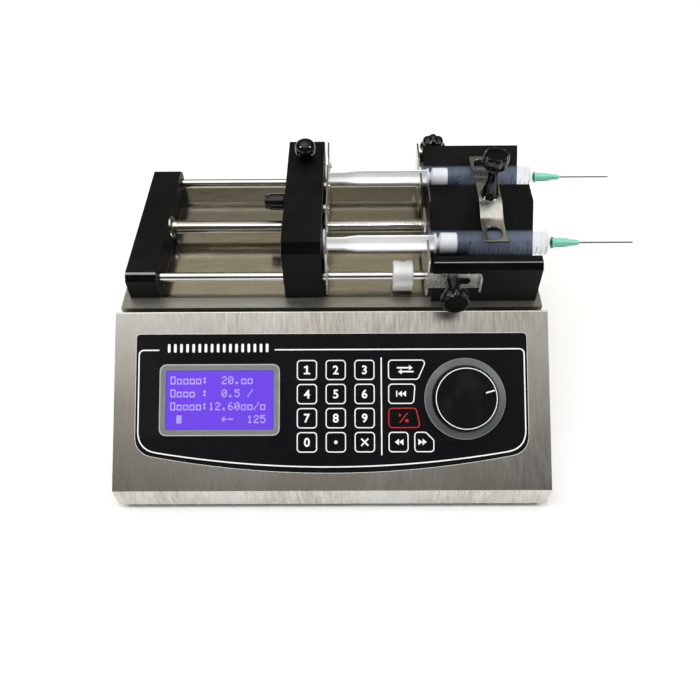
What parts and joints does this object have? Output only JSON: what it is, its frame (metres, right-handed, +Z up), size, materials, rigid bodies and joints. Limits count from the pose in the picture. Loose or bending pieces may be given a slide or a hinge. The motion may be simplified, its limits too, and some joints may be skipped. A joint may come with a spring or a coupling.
{
  "type": "syringe pump",
  "caption": "Bench syringe pump: a steel desk housing with a sloped keypad and dial, and a screw-driven pusher emptying clamped syringes.",
  "frame": {"origin": "under the middle of the whole object, on the surface that the feet stand on", "axes": "+X to the right, along the syringes towards the needles; +Y to the rear; +Z up"},
  "size_m": [0.3364, 0.2454, 0.1641],
  "materials": {
    "steel_sheet": "brushed stainless sheet, warm grey",
    "bracket_steel": "satin stainless strip",
    "polished_steel": "polished ground rod",
    "black_anodised": "satin black anodised aluminium",
    "overlay_black": "matte black printed film",
    "key_black": "matte black with a white printed outline",
    "key_red": "matte black with a red printed outline",
    "display": "backlit violet display in a grey frame",
    "dial_black": "gloss black with a spun face",
    "bezel_grey": "satin grey ring",
    "knob_black": "gloss black moulded plastic",
    "rubber_black": "black rubber",
    "circuit_board": "green circuit board",
    "motor_grey": "dark grey motor body",
    "aluminium_plain": "satin turned aluminium",
    "brass_nut": "machined brass",
    "plunger_white": "white moulded polypropylene",
    "barrel_clear": "clear polypropylene",
    "piston_rubber": "dark rubber",
    "hub_green": "translucent green hub with a steel cannula"
  },
  "bodies": {
    "root": {"base_tray": "steel_sheet", "front_shell": "steel_sheet", "deck_shell": "steel_sheet", "power_inlet": "knob_black", "foot_front_left": "rubber_black", "foot_front_right": "rubber_black", "foot_rear_left": "rubber_black", "foot_rear_right": "rubber_black", "front_overlay": "overlay_black", "lcd_module": "display", "dial_bezel": "bezel_grey", "control_board": "circuit_board", "left_end_block": "black_anodised", "front_guide_rod": "polished_steel", "rear_guide_rod": "polished_steel", "timing_belt": "rubber_black", "drive_motor": "motor_grey", "syringe_holder": "black_anodised", "front_barrel": "barrel_clear", "rear_barrel": "barrel_clear", "front_needle": "hub_green", "rear_needle": "hub_green"},
    "screw": {"lead_screw": "polished_steel", "screw_pulley": "aluminium_plain"},
    "motor_rotor": {"motor_pulley": "aluminium_plain"},
    "carriage": {"pusher_block": "black_anodised", "plunger_retainer": "bracket_steel", "front_plunger": "plunger_white", "rear_plunger": "plunger_white", "front_piston": "piston_rubber", "rear_piston": "piston_rubber"},
    "half_nut": {"half_nut": "brass_nut"},
    "release_button": {"release_button": "knob_black"},
    "pusher_knob": {"pusher_knob": "knob_black"},
    "stop_collar": {"stop_collar": "aluminium_plain"},
    "clamp_bar": {"clamp_bar": "bracket_steel"},
    "clamp_knob": {"clamp_knob": "knob_black"},
    "front_bracket": {"front_flange_bracket": "bracket_steel"},
    "rear_bracket": {"rear_flange_bracket": "bracket_steel"},
    "front_thumbscrew": {"front_thumbscrew": "knob_black"},
    "rear_thumbscrew": {"rear_thumbscrew": "knob_black"},
    "dial": {"dial_knob": "dial_black"},
    "power_switch": {"power_switch": "knob_black"},
    "key_0": {"key_0": "key_black"},
    "key_1": {"key_1": "key_black"},
    "key_2": {"key_2": "key_black"},
    "key_3": {"key_3": "key_black"},
    "key_4": {"key_4": "key_black"},
    "key_5": {"key_5": "key_black"},
    "key_6": {"key_6": "key_black"},
    "key_7": {"key_7": "key_black"},
    "key_8": {"key_8": "key_black"},
    "key_9": {"key_9": "key_black"},
    "key_point": {"key_point": "key_black"},
    "key_clear": {"key_clear": "key_black"},
    "key_change": {"key_change": "key_black"},
    "key_rewind": {"key_rewind": "key_black"},
    "key_run_stop": {"key_run_stop": "key_red"},
    "key_reverse": {"key_reverse": "key_black"},
    "key_forward": {"key_forward": "key_black"}
  },
  "joints": [
    {"name": "screw_spin", "type": "hinge", "parent": "root", "child": "screw", "pos_m": [-0.0282, 0.04125, 0.10057], "axis": [1, 0, 0], "range_deg": [-3245, 6485]},
    {"name": "pusher_slide", "type": "slide", "parent": "root", "child": "carriage", "axis": [1, 0, 0], "range_m": [-0.018, 0.036]},
    {"name": "motor_spin", "type": "hinge", "parent": "root", "child": "motor_rotor", "pos_m": [0.0753, 0.04125, 0.02795], "axis": [1, 0, 0], "range_deg": [-6490, 12970]},
    {"name": "release_button_press", "type": "slide", "parent": "carriage", "child": "release_button", "axis": [1, 0, 0], "range_m": [0, 0.003], "stiffness_N_per_m": 400},
    {"name": "half_nut_lift", "type": "slide", "parent": "carriage", "child": "half_nut", "axis": [0, 0, 1], "range_m": [0, 0.00151]},
    {"name": "pusher_knob_turn", "type": "hinge", "parent": "carriage", "child": "pusher_knob", "pos_m": [-0.0462, 0.07275, 0.13347], "axis": [0, 0, 1], "range_deg": [0, 720]},
    {"name": "stop_collar_slide", "type": "slide", "parent": "root", "child": "stop_collar", "axis": [1, 0, 0], "range_m": [-0.0035, 0.001]},
    {"name": "clamp_knob_turn", "type": "hinge", "parent": "clamp_bar", "child": "clamp_knob", "pos_m": [0.0763, 0.03575, 0.13156], "axis": [0, 0, 1], "range_deg": [-1, 2885]},
    {"name": "clamp_lift", "type": "slide", "parent": "root", "child": "clamp_bar", "axis": [0, 0, 1], "range_m": [0, 0.008]},
    {"name": "front_bracket_slide", "type": "slide", "parent": "root", "child": "front_bracket", "axis": [1, 0, 0], "range_m": [-0.006, 0]},
    {"name": "front_thumbscrew_turn", "type": "hinge", "parent": "root", "child": "front_thumbscrew", "pos_m": [0.049, -0.0209, 0.10931], "axis": [0, -1, 0], "range_deg": [0, 720]},
    {"name": "rear_bracket_slide", "type": "slide", "parent": "root", "child": "rear_bracket", "axis": [1, 0, 0], "range_m": [-0.006, 0]},
    {"name": "rear_thumbscrew_turn", "type": "hinge", "parent": "root", "child": "rear_thumbscrew", "pos_m": [0.0463, 0.10025, 0.11302], "axis": [0, 1, 0], "range_deg": [0, 720]},
    {"name": "dial_spin", "type": "hinge", "parent": "root", "child": "dial", "pos_m": [0.0572, -0.07823, 0.06017], "axis": [0, -0.5781, 0.8159], "continuous": true},
    {"name": "power_switch_rock", "type": "hinge", "parent": "root", "child": "power_switch", "pos_m": [0.0238, 0.09625, 0.034], "axis": [1, 0, 0], "range_deg": [-12, 0]},
    {"name": "key_0_press", "type": "slide", "parent": "root", "child": "key_0", "axis": [0, 0.5781, -0.8159], "range_m": [0, 0.0004], "stiffness_N_per_m": 300},
    {"name": "key_1_press", "type": "slide", "parent": "root", "child": "key_1", "axis": [0, 0.5781, -0.8159], "range_m": [0, 0.0004], "stiffness_N_per_m": 300},
    {"name": "key_2_press", "type": "slide", "parent": "root", "child": "key_2", "axis": [0, 0.5781, -0.8159], "range_m": [0, 0.0004], "stiffness_N_per_m": 300},
    {"name": "key_3_press", "type": "slide", "parent": "root", "child": "key_3", "axis": [0, 0.5781, -0.8159], "range_m": [0, 0.0004], "stiffness_N_per_m": 300},
    {"name": "key_4_press", "type": "slide", "parent": "root", "child": "key_4", "axis": [0, 0.5781, -0.8159], "range_m": [0, 0.0004], "stiffness_N_per_m": 300},
    {"name": "key_5_press", "type": "slide", "parent": "root", "child": "key_5", "axis": [0, 0.5781, -0.8159], "range_m": [0, 0.0004], "stiffness_N_per_m": 300},
    {"name": "key_6_press", "type": "slide", "parent": "root", "child": "key_6", "axis": [0, 0.5781, -0.8159], "range_m": [0, 0.0004], "stiffness_N_per_m": 300},
    {"name": "key_7_press", "type": "slide", "parent": "root", "child": "key_7", "axis": [0, 0.5781, -0.8159], "range_m": [0, 0.0004], "stiffness_N_per_m": 300},
    {"name": "key_8_press", "type": "slide", "parent": "root", "child": "key_8", "axis": [0, 0.5781, -0.8159], "range_m": [0, 0.0004], "stiffness_N_per_m": 300},
    {"name": "key_9_press", "type": "slide", "parent": "root", "child": "key_9", "axis": [0, 0.5781, -0.8159], "range_m": [0, 0.0004], "stiffness_N_per_m": 300},
    {"name": "key_point_press", "type": "slide", "parent": "root", "child": "key_point", "axis": [0, 0.5781, -0.8159], "range_m": [0, 0.0004], "stiffness_N_per_m": 300},
    {"name": "key_clear_press", "type": "slide", "parent": "root", "child": "key_clear", "axis": [0, 0.5781, -0.8159], "range_m": [0, 0.0004], "stiffness_N_per_m": 300},
    {"name": "key_change_press", "type": "slide", "parent": "root", "child": "key_change", "axis": [0, 0.5781, -0.8159], "range_m": [0, 0.0004], "stiffness_N_per_m": 300},
    {"name": "key_rewind_press", "type": "slide", "parent": "root", "child": "key_rewind", "axis": [0, 0.5781, -0.8159], "range_m": [0, 0.0004], "stiffness_N_per_m": 300},
    {"name": "key_run_stop_press", "type": "slide", "parent": "root", "child": "key_run_stop", "axis": [0, 0.5781, -0.8159], "range_m": [0, 0.0004], "stiffness_N_per_m": 300},
    {"name": "key_reverse_press", "type": "slide", "parent": "root", "child": "key_reverse", "axis": [0, 0.5781, -0.8159], "range_m": [0, 0.0004], "stiffness_N_per_m": 300},
    {"name": "key_forward_press", "type": "slide", "parent": "root", "child": "key_forward", "axis": [0, 0.5781, -0.8159], "range_m": [0, 0.0004], "stiffness_N_per_m": 300}
  ],
  "couplings": [
    {"joint": "screw_spin", "follows": "pusher_slide", "rad_per_m": 3141.6},
    {"joint": "motor_spin", "follows": "pusher_slide", "rad_per_m": 6283.2},
    {"joint": "half_nut_lift", "follows": "release_button_press", "ratio": 0.5},
    {"joint": "clamp_knob_turn", "follows": "clamp_lift", "rad_per_m": 6283.2}
  ]
}
